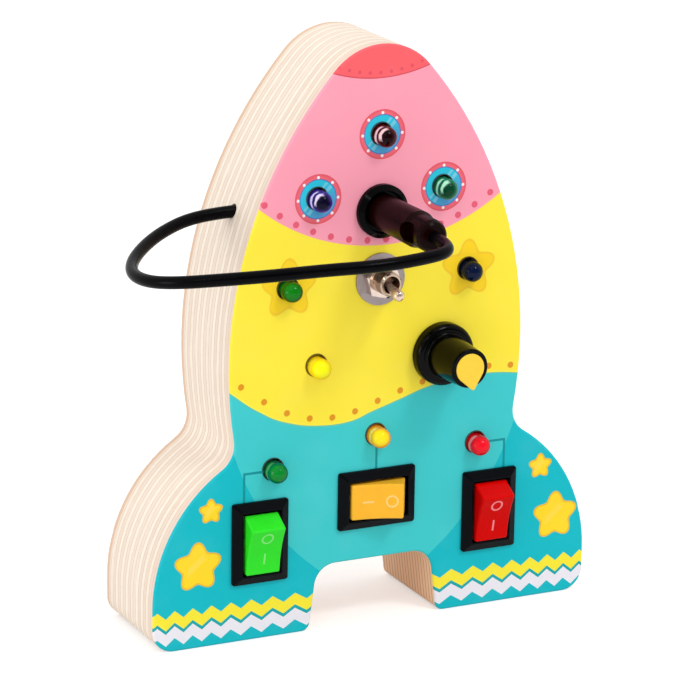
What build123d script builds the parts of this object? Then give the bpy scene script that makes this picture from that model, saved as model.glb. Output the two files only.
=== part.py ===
from build123d import *
import math
import os

# Rocket-shaped busy board: a thick plywood board that stands on two feet, with lamps, three
# rocker switches, a toggle switch, a rotary knob and a socket with a plug on a short cord.
# Everything is modelled lying on its back: X to the right, Y up the board, Z out of the
# front face (Z = 0 on the face, negative inside).  stand_up() then sets it on its feet.

# ---------------------------------------------------------------- board
# Places up the board are shares of its height; places across it are shares of its half width
# at the body (widest_half) or at the feet (foot_half).
board_height = 143.7
board_thickness = 29.2
widest_half = 39.0          # half width of the rocket's body at its widest
widest_height = 0.4732 * board_height
nose_radius = 16.5
foot_half = 58.5            # half width over the feet
foot_radius = 0.6667 * foot_half
foot_centre_height = 0.0765 * board_height
neck_radius = 7.0           # hollow between body and foot
toe_radius = 5.5
heel_radius = 2.2
arch_height = 16.4
arch_half_bottom = 17.4
arch_half_top = 15.4
arch_radius = 5.5
edge_round = 0.6
front_wall = 3.2            # wood left in front of the pocket
side_wall = 8.0             # wood left round the pocket
arch_wall = 6.6             # wood left over the arch
bay_gap = 0.4               # least room between a fitting and the pocket's wall
ledge_inset = 2.2           # rebate that takes the back cover
cover_thickness = 3.0
cover_gap = 0.15

# ---------------------------------------------------------------- lamps
lamp_d = 5.0
lamp_flange_d = 5.8
lamp_flange = 1.0
lamp_height = 8.8
lamp_hole_gap = 0.3
lamp_sag = 0.25             # each lamp hangs this far below the middle of its hole
lead_width = 0.5
lead_pitch = 2.54
lead_length = 5.3
star_lamp_x = 0.615 * widest_half
star_lamp_y = 0.604 * board_height
window_x = 0.4256 * widest_half
window_y = 0.7509 * board_height
top_window_y = 0.8497 * board_height
side_lamp_x = -0.4154 * widest_half
side_lamp_y = 0.4662 * board_height
rocker_lamp_x = 0.70 * widest_half
rocker_lamp_y = 0.2951 * board_height
middle_lamp_y = 0.3326 * board_height

# ---------------------------------------------------------------- rocker switches
rocker_x = 0.53 * foot_half
rocker_y = 0.1729 * board_height
middle_rocker_y = 0.2223 * board_height
bezel_length = 20.5
bezel_width = 14.6
bezel_corner = 0.6
bezel_edge = 0.8            # height of the bezel at its outer edge
bezel_rise = 1.9            # height of the bezel at the window
body_length = 19.0
body_width = 12.9
body_depth = 11.0
body_gap = 0.1
window_length = 15.8
window_width = 10.0
window_floor = 1.6
button_width = 8.8
button_half = 6.3           # half length at the ridges
button_half_low = 7.6       # half length at the pivot
button_height = 5.3         # ridge above the pivot
button_dish = 30.0          # radius of the hollow finger face
button_below = 3.4
button_below_half = 4.6
pivot_depth = 0.8           # pivot axis under the board's face
pivot_d = 2.4
pivot_reach = 0.8           # pegs and their holes go this far into the housing
pivot_fit = 0.05
rocker_tilt = 16.0
plunger_d = 3.0
plunger_reach = 1.9
blade_width = 4.8
blade_thickness = 0.8
blade_length = 7.5
blade_pitch = 9.0
clip_length = 5.0
clip_reach = 1.0

# ---------------------------------------------------------------- toggle switch
toggle_y = 0.604 * board_height
toggle_case_x = 8.2
toggle_case_y = 13.2
toggle_case_depth = 9.4
toggle_plate = 0.9
toggle_ear = 4.0            # folded ears reach this far down the case
toggle_bush_d = 5.7
toggle_bush_reach = 6.4     # bush in front of the board's face
toggle_bore_d = 4.3
toggle_hole_gap = 0.15
toggle_washer_d = 12.8
toggle_washer = 0.6
toggle_nut_flats = 8.0
toggle_nut = 2.0
toggle_nut_turn = 46.0
lever_pivot_below_mouth = 4.2
lever_ball_d = 4.2
lever_pin_d = 1.2
lever_pin_length = 5.4
lever_pin_fit = 0.05
lever_neck_d = 1.95
lever_stem_d = 1.4
lever_tip_d = 2.9
lever_swell = 5.2           # the neck swells over this last part
lever_above = 9.4           # lever's end above its pivot
lever_below = 8.0
lever_tilt = 12.0
tag_width = 2.2
tag_thickness = 0.8
tag_length = 4.4
tag_pitch = 4.7

# ---------------------------------------------------------------- socket and plug
socket_y = 0.721 * board_height
socket_flange_d = 13.1
socket_flange = 2.4
socket_bevel = 1.1
socket_thread_d = 11.0
socket_hole_gap = 0.15
socket_depth = 11.0
socket_recess_d = 9.8
socket_recess = 1.0
socket_bore_depth = 9.4
socket_nut_flats = 14.0
socket_nut = 2.2
plug_fit = 0.08
pin_d = 2.0
pin_fit = 0.06
sleeve_d = 5.5
sleeve_length = 9.5
plug_seat_gap = 0.1
barrel_d = 8.9
barrel_taper = 0.2          # the barrel is this much thinner all round at the socket
barrel_length = 19.0
relief_d = 7.8
relief_length = 7.0
relief_slot_length = 6.0
relief_slot_height = 4.8
relief_web = 3.6            # left standing between the two slots

# ---------------------------------------------------------------- potentiometer and knob
knob_x = 0.432 * widest_half
knob_y = 0.4638 * board_height
pot_d = 16.5
pot_depth = 7.0
wafer = 1.4
wafer_tongue = 7.0          # tongue that carries the tags
pot_bush_d = 7.0
pot_bush_length = 7.0
pot_plate = 1.0
pot_plate_d = 12.0
pot_hole_gap = 0.15
pot_washer_d = 11.0
pot_washer = 0.5
pot_nut_flats = 10.0
pot_nut = 2.0
shaft_d = 6.0
shaft_fit = 0.05
shaft_reach = 13.0
shaft_slit = 1.0
shaft_slit_depth = 6.0
rotor_thickness = 2.5
shaft_bevel = 0.5
pot_tag_width = 1.4
pot_tag_thickness = 0.5
pot_tag_length = 5.0
pot_tag_pitch = 4.2
pot_tag_leg = 3.2
knob_clearance = 0.4
knob_reach = 15.7           # front of the knob's cap above the board's face
knob_skirt_d = 15.5
knob_skirt = 1.7            # straight side of the skirt
knob_shoulder = 1.6         # round shoulder of the skirt
knob_body_d = 10.9
knob_front_d = 9.6
knob_hollow_d = 12.6        # room for the nut
knob_hollow_top = 3.0
knob_throat_d = 8.2         # room for the bush
knob_throat_top = 4.4
knob_bore_gap = 0.03
knob_bore_spare = 0.4       # bore beyond the end of the shaft
pointer_turn = -80.0
cap_d = 7.4
cap_tip_reach = 5.5
cap_tip_round = 0.5
cap_thickness = 1.1
cap_proud = 0.3
cap_gap = 0.05

# ---------------------------------------------------------------- lamp board
panel_thickness = 1.6
panel_inset = 8.6
panel_bottom = 0.2853 * board_height
panel_hole_gap = 1.0
spacer_d = 5.0
spacer_bore_d = 2.3
panel_screw_d = 2.2
panel_screw_head_d = 4.0
panel_screw_head = 1.3
panel_screw_points = [
    (0.0, 0.908 * board_height),
    (-0.667 * widest_half, 0.529 * board_height),
    (0.667 * widest_half, 0.536 * board_height),
    (-0.333 * widest_half, 0.362 * board_height),
]
resistor_d = 1.8
resistor_length = 4.2

# ---------------------------------------------------------------- battery tray
cell_d = 10.5
cell_length = 43.6
cell_button_d = 3.8
cell_button = 0.9
cell_pitch = 11.0
cell_gap = 0.25
tray_y = 0.40 * board_height
tray_wall = 1.3
tray_floor = 1.2
tray_flange = 1.5
tray_lip = 3.0
contact_plate = 0.4
spring_room = 4.6
spring_d = 6.0
spring_wire = 0.5
spring_turns = 4
door_thickness = 1.5
door_margin = 3.4
door_gap = 0.2
door_screw_d = 2.2
door_screw_head_d = 3.6
door_screw_length = 7.0

# ---------------------------------------------------------------- screws of the cover
cover_screw_d = 2.4
cover_screw_head_d = 4.0
cover_screw_length = 9.0
cover_screw_inset = 5.4
cover_screw_fit = 0.1

# ---------------------------------------------------------------- cord
cord_d = 3.0
cord_hole_gap = 0.2
cord_depth = 12.8           # cord's hole behind the front face
cord_loop = [               # x, drop below the socket's height, reach in front of the face
    (-44.5, 0.5, -11.9),
    (-53.2, 2.0, -8.0),
    (-60.6, 3.7, -2.2),
    (-66.2, 5.2, 4.6),
    (-68.7, 5.9, 12.0),
    (-67.8, 5.5, 19.9),
    (-63.7, 4.4, 26.6),
    (-55.8, 3.3, 31.6),
    (-45.2, 2.5, 35.6),
    (-33.3, 1.7, 38.5),
    (-21.2, 1.2, 41.7),
    (-10.4, 0.9, 40.8),
    (-2.2, 0.5, 39.1),
]
cord_hole_start = 21.0      # the cord runs straight through the side wall from here
cord_hole_end = 34.4
cord_straight = 5.7         # straight run out of the plug

front_y = -(board_thickness - knob_reach) / 2
inner_face = -front_wall
back_face = -board_thickness


def stand_up(shape):
    """Turn a piece from its back onto its feet, with the whole board centred on the origin."""
    upright = Plane(origin=(0, front_y, 0), x_dir=(1, 0, 0), z_dir=(0, -1, 0))
    return upright.location * shape


def keep(name, *solids):
    """Write one node; several solids go in as a group."""
    placed = [stand_up(solid) for solid in solids]
    shape = placed[0] if len(placed) == 1 else Compound(children=placed)
    export_step(shape, f"parts/{name}.step")


def revolved(points):
    """Solid of revolution about Z from (radius, height) points."""
    profile = Polyline(*[(r, 0, z) for r, z in points], close=True)
    return revolve(make_face(profile), Axis.Z)


def tube(outer_d, inner_d, low, high):
    ring = Circle(outer_d / 2) - Circle(inner_d / 2)
    return Pos(0, 0, low) * extrude(ring, high - low)


def block(x_size, y_size, low, high):
    return Pos(0, 0, low) * extrude(Rectangle(x_size, y_size), high - low)


def hexagon(flats, bore_d, low, high, turn):
    """Hexagon nut with its corners rounded off by a cone at both ends."""
    corner_radius = flats / math.sqrt(3)
    blank = Rot(0, 0, turn) * RegularPolygon(corner_radius, 6)
    nut = Pos(0, 0, low) * extrude(blank - Circle(bore_d / 2), high - low)
    bevel = (corner_radius - flats / 2) / 2
    cone = revolved([
        (0, low), (flats / 2, low), (corner_radius, low + bevel),
        (corner_radius, high - bevel), (flats / 2, high), (0, high),
    ])
    return nut & cone


# ---------------------------------------------------------------- outline
shoulder_rise = board_height - nose_radius - widest_height
shoulder_radius = (widest_half ** 2 + shoulder_rise ** 2 - nose_radius ** 2) / (
    2 * (widest_half - nose_radius)
)
shoulder_centre = (widest_half - shoulder_radius, widest_height)
nose_centre = (0.0, board_height - nose_radius)
foot_centre = (foot_half - foot_radius, foot_centre_height)


def meet(centre_a, radius_a, centre_b, radius_b):
    """The right-hand point where two circles cross."""
    dx = centre_b[0] - centre_a[0]
    dy = centre_b[1] - centre_a[1]
    gap = math.hypot(dx, dy)
    along = (radius_a ** 2 - radius_b ** 2 + gap ** 2) / (2 * gap)
    aside = math.sqrt(radius_a ** 2 - along ** 2)
    first = (
        centre_a[0] + (along * dx + aside * dy) / gap,
        centre_a[1] + (along * dy - aside * dx) / gap,
    )
    second = (
        centre_a[0] + (along * dx - aside * dy) / gap,
        centre_a[1] + (along * dy + aside * dx) / gap,
    )
    return max(first, second)


def angle_from(centre, point):
    return math.degrees(math.atan2(point[1] - centre[1], point[0] - centre[0]))


def rocket(inset, arch_inset):
    """The board's outline moved inwards by inset, and by arch_inset over the arch."""
    nose_r = nose_radius - inset
    shoulder_r = shoulder_radius - inset
    foot_r = foot_radius - inset
    neck = meet(shoulder_centre, shoulder_r, foot_centre, foot_r)
    shoulder_top = angle_from(shoulder_centre, nose_centre)
    shoulder_end = angle_from(shoulder_centre, neck)
    foot_start = angle_from(foot_centre, neck)
    toe = (foot_half - inset, inset)
    heel = (arch_half_bottom + arch_inset, inset)
    crown = (arch_half_top + arch_inset, arch_height + arch_inset)
    with BuildSketch() as sketch:
        with BuildLine():
            CenterArc(nose_centre, nose_r, shoulder_top, 90 - shoulder_top)
            CenterArc(shoulder_centre, shoulder_r, shoulder_end, shoulder_top - shoulder_end)
            CenterArc(foot_centre, foot_r, 0, foot_start)
            Polyline((foot_half - inset, foot_centre_height), toe, heel, crown, (0, crown[1]))
            mirror(about=Plane.YZ)
        make_face()
        corners = [
            (neck, neck_radius + inset),
            (toe, max(toe_radius - inset, 1.0)),
            (heel, max(heel_radius - arch_inset, 0.8)),
            (crown, arch_radius + arch_inset),
        ]
        for point, radius in corners:
            for side in (1, -1):
                corner = sketch.vertices().sort_by_distance((side * point[0], point[1], 0))[0]
                fillet(corner, radius)
    return sketch.sketch


def rim_point(height, inset):
    """Point on the body's right-hand side, inset from the edge, at a height."""
    radius = shoulder_radius - inset
    reach = math.sqrt(radius ** 2 - (height - widest_height) ** 2)
    return (shoulder_centre[0] + reach, height)


lamp_points = {
    "top_window_lamp": (0.0, top_window_y),
    "left_window_lamp": (-window_x, window_y),
    "right_window_lamp": (window_x, window_y),
    "left_star_lamp": (-star_lamp_x, star_lamp_y),
    "right_star_lamp": (star_lamp_x, star_lamp_y),
    "side_lamp": (side_lamp_x, side_lamp_y),
    "left_rocker_lamp": (-rocker_lamp_x, rocker_lamp_y),
    "middle_rocker_lamp": (0.0, middle_lamp_y),
    "right_rocker_lamp": (rocker_lamp_x, rocker_lamp_y),
}

rocker_places = {
    "left": Pos(-rocker_x, rocker_y, 0) * Rot(0, 0, 90),
    "middle": Pos(0, middle_rocker_y, 0),
    "right": Pos(rocker_x, rocker_y, 0) * Rot(0, 0, 90),
}

cover_screw_points = [
    (0.0, board_height - cover_screw_inset),
    rim_point(0.752 * board_height, cover_screw_inset),
    rim_point(0.431 * board_height, cover_screw_inset),
    (foot_half - cover_screw_inset, foot_centre_height),
    (rocker_x, cover_screw_inset),
]
cover_screw_points += [(-x, y) for x, y in cover_screw_points if x > 0]

tray_length = cell_length + cell_button + spring_room + 2 * contact_plate
tray_width = 2 * cell_pitch + 2 * cell_gap
door_length = tray_length + 2 * door_margin
door_width = tray_width + 2 * door_margin
cover_inner = back_face + cover_thickness
cell_centre = cover_inner + cell_d / 2 + cell_gap
tray_bottom = cell_centre + cell_d / 2 + cell_gap
door_screw_x = tray_length / 2 + tray_wall
panel_front = inner_face - lamp_flange - lead_length
panel_back = panel_front - panel_thickness


# ---------------------------------------------------------------- wooden pieces
def board_body():
    """Plywood board: outline, pocket and rebate in the back, and every hole."""
    wood = Pos(0, 0, back_face) * extrude(rocket(0, 0), board_thickness)
    wood = fillet(wood.edges().group_by(Axis.Z)[-1] + wood.edges().group_by(Axis.Z)[0], edge_round)
    pocket = Pos(0, 0, back_face) * extrude(
        rocket(side_wall, arch_wall), board_thickness - front_wall
    )
    rebate = Pos(0, 0, back_face) * extrude(rocket(ledge_inset, ledge_inset), cover_thickness)
    wood = wood - pocket - rebate
    for x, y in lamp_points.values():
        wood -= Pos(x, y, inner_face) * extrude(Circle(lamp_d / 2 + lamp_hole_gap), front_wall)
        flange_room = extrude(Circle(lamp_flange_d / 2 + bay_gap), inner_face - panel_back)
        wood -= Pos(x, y, panel_back) * flange_room
    for place in rocker_places.values():
        opening = Rectangle(body_length + 2 * body_gap, body_width + 2 * body_gap)
        wood -= place * Pos(0, 0, inner_face) * extrude(opening, front_wall)
        bay_length = body_length + 2 * (clip_reach + bay_gap)
        wood -= place * block(bay_length, body_width + 2 * bay_gap, cover_inner, inner_face)
    tray_room = block(
        tray_length + 2 * (tray_lip + bay_gap), tray_width + 2 * (tray_lip + bay_gap),
        cover_inner, tray_bottom + tray_floor + bay_gap,
    )
    wood -= Pos(0, tray_y, 0) * tray_room
    round_holes = [
        (0, toggle_y, toggle_bush_d / 2 + toggle_hole_gap),
        (0, socket_y, socket_thread_d / 2 + socket_hole_gap),
        (knob_x, knob_y, pot_bush_d / 2 + pot_hole_gap),
    ]
    for x, y, radius in round_holes:
        wood -= Pos(x, y, inner_face) * extrude(Circle(radius), front_wall)
    cord_hole = extrude(Circle(cord_d / 2 + cord_hole_gap), widest_half)
    wood -= Pos(-cord_hole_start, socket_y, -cord_depth) * Rot(0, -90, 0) * cord_hole
    for x, y in cover_screw_points:
        bite = extrude(Circle(cover_screw_d / 2), cover_screw_length - cover_thickness)
        wood -= Pos(x, y, cover_inner) * bite
    for x, y in panel_screw_points:
        wood -= Pos(x, y, inner_face) * extrude(Circle(panel_screw_d / 2), front_wall - 1.2)
    return wood


def back_cover():
    """Thin cover that lies flush in the rebate, with the battery opening."""
    outline = rocket(ledge_inset + cover_gap, ledge_inset + cover_gap)
    cover = Pos(0, 0, back_face) * extrude(outline, cover_thickness)
    door_seat = Pos(0, tray_y, 0) * Rectangle(door_length + 2 * door_gap, door_width + 2 * door_gap)
    opening = Pos(0, tray_y, 0) * Rectangle(tray_length, tray_width)
    cover -= Pos(0, 0, back_face) * extrude(fillet(door_seat.vertices(), 2.0), door_thickness)
    cover -= Pos(0, 0, back_face) * extrude(opening, cover_thickness)
    sink = revolved([
        (0, 0), (cover_screw_head_d / 2, 0), (cover_screw_d / 2 + cover_screw_fit, cover_screw_d / 2),
        (cover_screw_d / 2 + cover_screw_fit, cover_thickness), (0, cover_thickness),
    ])
    for x, y in cover_screw_points:
        cover -= Pos(x, y, back_face) * sink
    screw_hole = extrude(Circle(door_screw_d / 2 + cover_screw_fit), cover_thickness)
    cover -= Pos(door_screw_x, tray_y, back_face) * screw_hole
    return cover


def cross_recess(head_d):
    """Cross that a screwdriver fits, round Z = 0."""
    arm = Box(head_d * 0.56, head_d * 0.15, head_d * 0.42)
    return arm + Rot(0, 0, 90) * arm


def countersunk(head_d, shank_d, length):
    """Countersunk screw, head at Z = 0, point towards +Z."""
    screw = revolved([
        (0, 0.1), (head_d / 2 - 0.1, 0.1), (shank_d / 2, head_d / 2 - shank_d / 2 + 0.1),
        (shank_d / 2, length - 1.4), (0, length - 0.2),
    ])
    return screw - cross_recess(head_d)


# ---------------------------------------------------------------- lamps
def lamp():
    """Domed 5 mm lamp; its flange seats on the wall from inside."""
    base = inner_face - lamp_flange
    dome_centre = base + lamp_height - lamp_d / 2
    with BuildSketch(Plane.XZ) as half:
        with BuildLine():
            Polyline(
                (0, base), (lamp_flange_d / 2, base), (lamp_flange_d / 2, inner_face),
                (lamp_d / 2, inner_face), (lamp_d / 2, dome_centre),
            )
            RadiusArc((lamp_d / 2, dome_centre), (0, dome_centre + lamp_d / 2), -lamp_d / 2)
            Line((0, dome_centre + lamp_d / 2), (0, base))
        make_face()
    return revolve(half.sketch, Axis.Z)


def lamp_leads():
    lead = block(lead_width, lead_width, panel_front, inner_face - lamp_flange)
    pair = [Pos(side * lead_pitch / 2, 0, 0) * lead for side in (-1, 1)]
    return [Pos(x, y - lamp_sag, 0) * one for x, y in lamp_points.values() for one in pair]


# ---------------------------------------------------------------- rocker switches
def rocker_housing():
    """Housing with a sloping bezel, a window, pivot holes and two clips."""
    low_frame = Rectangle(bezel_length, bezel_width)
    high_frame = Rectangle(window_length + 0.8, window_width + 0.8)
    bezel = extrude(fillet(low_frame.vertices(), bezel_corner), bezel_edge)
    slope = loft([
        Pos(0, 0, bezel_edge) * fillet(low_frame.vertices(), bezel_corner),
        Pos(0, 0, bezel_rise) * fillet(high_frame.vertices(), bezel_corner / 2),
    ])
    body = block(body_length, body_width, -body_depth, 0)
    housing = bezel + slope + body
    housing -= block(window_length, window_width, -body_depth + window_floor, bezel_rise)
    pivot_bore = Cylinder(pivot_d / 2 + pivot_fit, window_width + 2 * pivot_reach + 2 * body_gap)
    housing -= Pos(0, 0, -pivot_depth) * Rot(90, 0, 0) * pivot_bore
    wedge = make_face(Polyline(
        (0, 0, inner_face), (clip_reach, 0, inner_face), (0, 0, inner_face - clip_length),
        close=True,
    ))
    clip = extrude(wedge, clip_length / 2, dir=(0, 1, 0), both=True)
    right_clip = Pos(body_length / 2, 0, 0) * clip
    return housing + right_clip + mirror(right_clip, Plane.YZ)


def rocker_button():
    """Tilting button about its pivot: dished finger face, pivot pegs and spring plunger."""
    with BuildSketch(Plane.XZ) as side_view:
        with BuildLine():
            right_ridge = (button_half, button_height)
            left_ridge = (-button_half, button_height)
            RadiusArc(left_ridge, right_ridge, -button_dish)
            Polyline(
                right_ridge, (button_half_low, 0), (button_below_half, -button_below),
                (-button_below_half, -button_below), (-button_half_low, 0), left_ridge,
            )
        make_face()
    button = extrude(side_view.sketch, button_width / 2, both=True)
    rim = button.edges().filter_by(lambda edge: edge.center().Z > button_height / 2 - 2.0)
    button = fillet(rim.filter_by(lambda edge: abs(edge.center().Z) > 0.5), 0.45)
    pegs = Rot(90, 0, 0) * Cylinder(pivot_d / 2, window_width + 2 * pivot_reach)
    plunger = Pos(0, 0, -button_below - plunger_reach) * Cylinder(
        plunger_d / 2, plunger_reach, align=(Align.CENTER, Align.CENTER, Align.MIN)
    )
    return button + pegs + plunger


def placed_button():
    """Button at rest: the right-hand end stands up, the left-hand end is pressed."""
    return Pos(0, 0, -pivot_depth) * Rot(0, -rocker_tilt, 0) * rocker_button()


def rocker_blades():
    blade = block(blade_thickness, blade_width, -body_depth - blade_length, -body_depth)
    blade = chamfer(blade.edges().group_by(Axis.Z)[0].filter_by(Axis.X), 1.0)
    pair = [Pos(side * blade_pitch / 2, 0, 0) * blade for side in (-1, 1)]
    return [place * one for place in rocker_places.values() for one in pair]


# ---------------------------------------------------------------- toggle switch
toggle_pivot = toggle_bush_reach - lever_pivot_below_mouth
toggle_case_top = inner_face - toggle_plate
toggle_case_low = toggle_case_top - toggle_case_depth


def toggle_case():
    case = block(toggle_case_x, toggle_case_y, toggle_case_low, toggle_case_top)
    case = fillet(case.edges().filter_by(Axis.Z), 0.5)
    room = block(toggle_case_x - 3.0, toggle_case_y - 4.0, toggle_case_low + 2.0, toggle_case_top)
    return case - room


def toggle_frame():
    """Metal plate with folded ears over the case, and the threaded bush."""
    plate = block(toggle_case_x, toggle_case_y, toggle_case_top, inner_face)
    plate -= Pos(0, 0, toggle_case_top) * extrude(Circle(toggle_bore_d / 2 + 0.15), toggle_plate)
    bush = revolved([
        (toggle_bore_d / 2 + 0.15, toggle_case_top), (toggle_bush_d / 2, toggle_case_top),
        (toggle_bush_d / 2, toggle_bush_reach - 0.3), (toggle_bush_d / 2 - 0.3, toggle_bush_reach),
        (toggle_bore_d / 2, toggle_bush_reach), (toggle_bore_d / 2, toggle_pivot - 1.5),
        (toggle_bore_d / 2 + 0.15, toggle_pivot - 2.2),
    ])
    cross_hole = Rot(0, 90, 0) * Cylinder(lever_pin_d / 2 + lever_pin_fit, toggle_bush_d)
    bush -= Pos(0, 0, toggle_pivot) * cross_hole
    ear = block(toggle_plate * 0.6, toggle_case_y * 0.55, toggle_case_top - toggle_ear, inner_face)
    ear_place = toggle_case_x / 2 + toggle_plate * 0.3
    return plate + bush + Pos(ear_place, 0, 0) * ear + Pos(-ear_place, 0, 0) * ear


def toggle_lever():
    """Bat lever with its pivot ball and cross pin, tilted down."""
    swell = lever_above - lever_tip_d / 2
    profile = revolved([
        (0, -lever_below), (lever_stem_d / 2, -lever_below), (lever_stem_d / 2, 0),
        (lever_neck_d / 2, 0), (lever_neck_d / 2, lever_above - lever_swell), (lever_tip_d / 2, swell),
        (0, swell),
    ])
    lever = profile + Sphere(lever_ball_d / 2) + Pos(0, 0, swell) * Sphere(lever_tip_d / 2)
    lever += Rot(0, 90, 0) * Cylinder(lever_pin_d / 2, lever_pin_length)
    return Pos(0, toggle_y, toggle_pivot) * Rot(lever_tilt, 0, 0) * lever


def toggle_tags():
    tag = block(tag_width, tag_thickness, toggle_case_low - tag_length, toggle_case_low)
    return [Pos(0, toggle_y + step * tag_pitch, 0) * tag for step in (-1, 0, 1)]


# ---------------------------------------------------------------- socket and plug
socket_floor = socket_flange - socket_recess
plug_seat = socket_floor + plug_seat_gap
relief_start = plug_seat + barrel_length
plug_end = relief_start + relief_length


def socket_body():
    """Panel socket: bevelled flange with a recess, threaded body and stepped bore."""
    flange_r = socket_flange_d / 2
    return Pos(0, socket_y, 0) * revolved([
        (sleeve_d / 2 + plug_fit, socket_floor), (socket_recess_d / 2, socket_floor),
        (socket_recess_d / 2 + 0.3, socket_flange), (flange_r - socket_bevel, socket_flange),
        (flange_r, socket_flange - socket_bevel), (flange_r, 0), (socket_thread_d / 2, 0),
        (socket_thread_d / 2, -socket_depth + 2.0), (socket_thread_d / 2 - 1.0, -socket_depth + 2.0),
        (socket_thread_d / 2 - 1.0, -socket_depth), (pin_d / 2, -socket_depth),
        (pin_d / 2, socket_floor - socket_bore_depth - 0.6),
        (sleeve_d / 2 + plug_fit, socket_floor - socket_bore_depth - 0.6),
    ])


def socket_pin():
    tip = socket_floor - 1.2
    return Pos(0, socket_y, 0) * revolved([
        (0, -socket_depth - 1.5), (pin_d / 2, -socket_depth - 1.5), (pin_d / 2, tip - 0.6),
        (pin_d / 4, tip), (0, tip),
    ])


def socket_tags():
    tag = Pos(0, 0, -socket_depth - 4.5) * extrude(Rectangle(2.4, 0.5), 4.5)
    return [Pos(side * 2.6, socket_y, 0) * tag for side in (-1, 1)]


def plug_shell():
    """Moulded plug: barrel, waisted strain relief with slots, rounded end."""
    barrel_r = barrel_d / 2
    relief_r = relief_d / 2
    shell = revolved([
        (sleeve_d / 2 - 0.4, plug_seat), (barrel_r - barrel_taper - 0.3, plug_seat),
        (barrel_r - barrel_taper, plug_seat + 0.4), (barrel_r, relief_start - 1.0),
        (relief_r, relief_start + 0.6), (relief_r, plug_end - 1.5), (relief_r - 0.4, plug_end - 0.5),
        (relief_r - 1.0, plug_end), (0, plug_end), (0, plug_seat + 1.0),
        (sleeve_d / 2 - 0.4, plug_seat + 1.0),
    ])
    slot = Box(barrel_d, relief_slot_height, relief_slot_length)
    slot = fillet(slot.edges().filter_by(Axis.X), relief_slot_height * 0.45)
    for side in (-1, 1):
        shell -= Pos(side * (barrel_d + relief_web) / 2, 0, relief_start + 1.1) * slot
    return Pos(0, socket_y, 0) * shell


def plug_sleeve():
    tip = plug_seat - sleeve_length
    return Pos(0, socket_y, 0) * revolved([
        (pin_d / 2 + pin_fit, tip), (sleeve_d / 2 - 0.2, tip), (sleeve_d / 2, tip + 0.3),
        (sleeve_d / 2, plug_seat), (sleeve_d / 2 - 0.4, plug_seat),
        (sleeve_d / 2 - 0.4, plug_seat + 1.0), (pin_d / 2 + pin_fit, plug_seat + 1.0),
    ])


# ---------------------------------------------------------------- potentiometer and knob
def at_knob(shape):
    return Pos(knob_x, knob_y, 0) * shape


pot_top = inner_face - pot_plate
pot_low = pot_top - wafer - pot_depth
rotor_d = pot_bush_d + 1.6
rotor_top = pot_top - wafer - 0.4


def pot_bush():
    """Threaded bush with its round mounting plate."""
    bore = shaft_d / 2 + shaft_fit
    bush_end = inner_face + pot_bush_length
    return at_knob(revolved([
        (bore, pot_top), (pot_plate_d / 2, pot_top), (pot_plate_d / 2, inner_face),
        (pot_bush_d / 2, inner_face), (pot_bush_d / 2, bush_end - 0.4),
        (pot_bush_d / 2 - 0.3, bush_end), (bore, bush_end),
    ]))


def pot_wafer():
    """Brown base board of the potentiometer, with a tongue that carries the tags."""
    disc = Circle(pot_d / 2) + Pos(0, -pot_d / 2, 0) * Rectangle(pot_d * 0.72, wafer_tongue)
    ring = disc - Circle(shaft_d / 2 + shaft_fit)
    return at_knob(Pos(0, 0, pot_top - wafer) * extrude(ring, wafer))


def pot_case():
    """Pressed metal can, open towards the base board."""
    wall = 0.6
    top = pot_top - wafer
    return at_knob(revolved([
        (pot_d / 2, top), (pot_d / 2, pot_low + 0.8), (pot_d / 2 - 0.8, pot_low), (0, pot_low),
        (0, pot_low + wall), (pot_d / 2 - 0.8 - wall / 2, pot_low + wall),
        (pot_d / 2 - wall, pot_low + 0.8 + wall / 2), (pot_d / 2 - wall, top),
    ]))


def pot_tags():
    """Three tags on the wafer's tongue, bent down at their ends."""
    start = -pot_d / 2 - 1.0
    bend = start - pot_tag_length
    blade = Pos(0, (start + bend) / 2, -pot_tag_thickness / 2) * Box(
        pot_tag_width, pot_tag_length, pot_tag_thickness
    )
    leg = Pos(0, bend + pot_tag_thickness / 2, -pot_tag_leg / 2) * Box(
        pot_tag_width, pot_tag_thickness, pot_tag_leg
    )
    tag = Pos(0, 0, pot_top - wafer) * (blade + leg)
    return [at_knob(Pos(step * pot_tag_pitch, 0, 0) * tag) for step in (-1, 0, 1)]


def pot_shaft():
    """Shaft with a rotor disc inside the can and a slit end."""
    rotor_low = rotor_top - rotor_thickness
    shaft = revolved([
        (0, rotor_low), (rotor_d / 2, rotor_low), (rotor_d / 2, rotor_top), (shaft_d / 2, rotor_top),
        (shaft_d / 2, shaft_reach - shaft_bevel), (shaft_d / 2 - shaft_bevel, shaft_reach),
        (0, shaft_reach),
    ])
    slit = block(shaft_d, shaft_slit, shaft_reach - shaft_slit_depth, shaft_reach)
    return at_knob(Rot(0, 0, pointer_turn) * (shaft - slit))


def teardrop(radius, reach, tip_radius):
    """Round outline drawn out to a small round tip on the +X side."""
    centre_gap = reach - tip_radius
    lean = math.degrees(math.acos((radius - tip_radius) / centre_gap))
    with BuildSketch() as sketch:
        with BuildLine():
            body = CenterArc((0, 0), radius, lean, 360 - 2 * lean)
            tip = CenterArc((centre_gap, 0), tip_radius, -lean, 2 * lean)
            Line(body @ 0, tip @ 1)
            Line(tip @ 0, body @ 1)
        make_face()
    return sketch.sketch


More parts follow.
